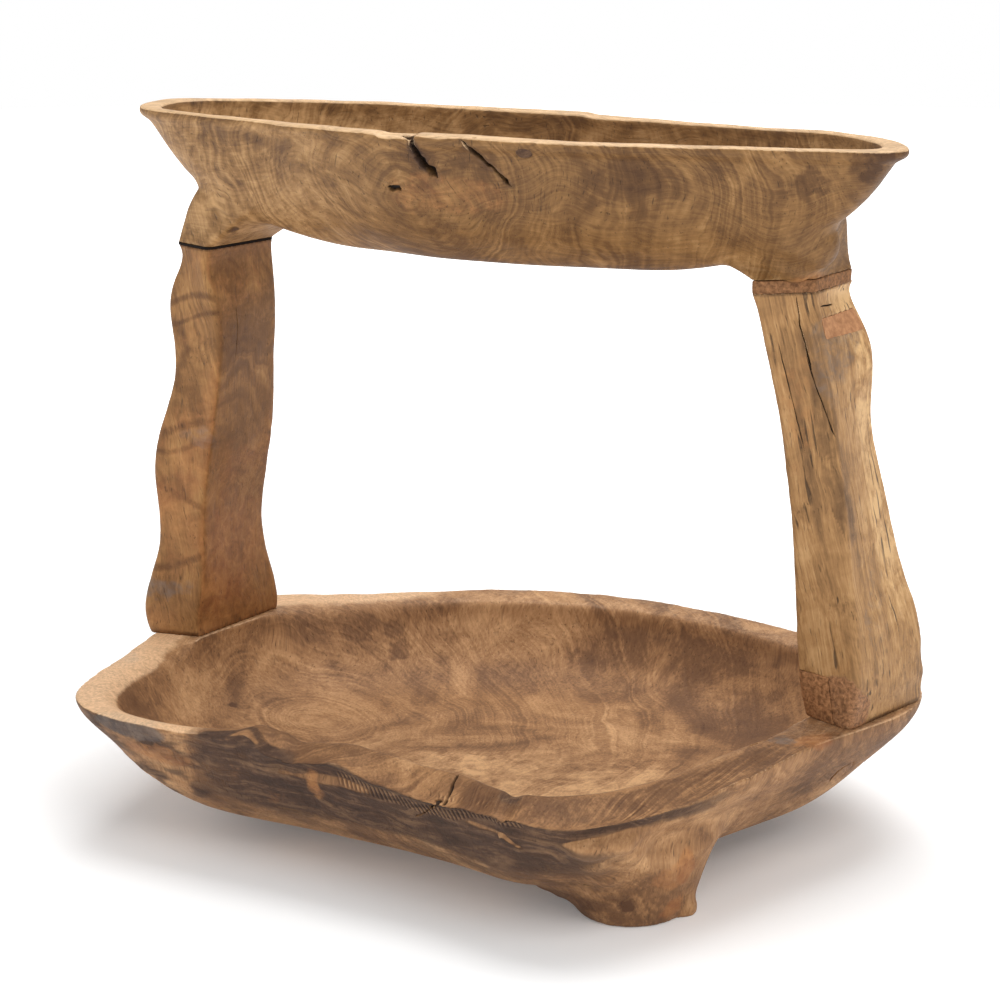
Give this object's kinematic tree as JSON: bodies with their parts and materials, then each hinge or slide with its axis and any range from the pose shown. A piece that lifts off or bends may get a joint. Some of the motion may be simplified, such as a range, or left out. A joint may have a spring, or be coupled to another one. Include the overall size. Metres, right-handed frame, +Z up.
{
  "type": "two-tier carved wooden bowl",
  "caption": "Two-tier server of carved teak root: a wide footed bowl below, joined by two wavy slab posts to a long boat-shaped tray above.",
  "frame": {"origin": "on the floor, under the middle of the whole piece's box", "axes": "+X from the left post to the right post, +Y to the back, +Z up"},
  "size_m": [0.485, 0.3706, 0.408],
  "materials": {
    "bowl_wood": "sanded and oiled teak root, dark bark stains",
    "tray_wood": "sanded and oiled teak root",
    "left_post_wood": "sanded teak root, warm brown",
    "right_post_wood": "sanded teak root, golden straight grain",
    "dowel_wood": "plain hardwood dowel",
    "patch_wood": "sanded reddish inlay",
    "filler": "sanded sawdust-and-glue filler, reddish",
    "dark_glue": "set glue, dark",
    "screw_steel": "zinc-plated wood screw"
  },
  "bodies": {
    "root": {"lower_bowl": "bowl_wood", "upper_tray": "tray_wood", "left_post": "left_post_wood", "right_post": "right_post_wood", "left_glue_bed": "dark_glue", "right_top_filler": "filler", "right_base_filler": "filler", "right_post_patch": "patch_wood", "right_toe_screw": "screw_steel", "left_front_top_dowel": "dowel_wood", "left_front_base_screw": "screw_steel", "left_front_base_plug": "dowel_wood", "left_back_top_dowel": "dowel_wood", "left_back_base_screw": "screw_steel", "left_back_base_plug": "dowel_wood", "right_front_top_dowel": "dowel_wood", "right_front_base_screw": "screw_steel", "right_front_base_plug": "dowel_wood", "right_back_top_dowel": "dowel_wood", "right_back_base_screw": "screw_steel", "right_back_base_plug": "dowel_wood"}
  },
  "joints": []
}
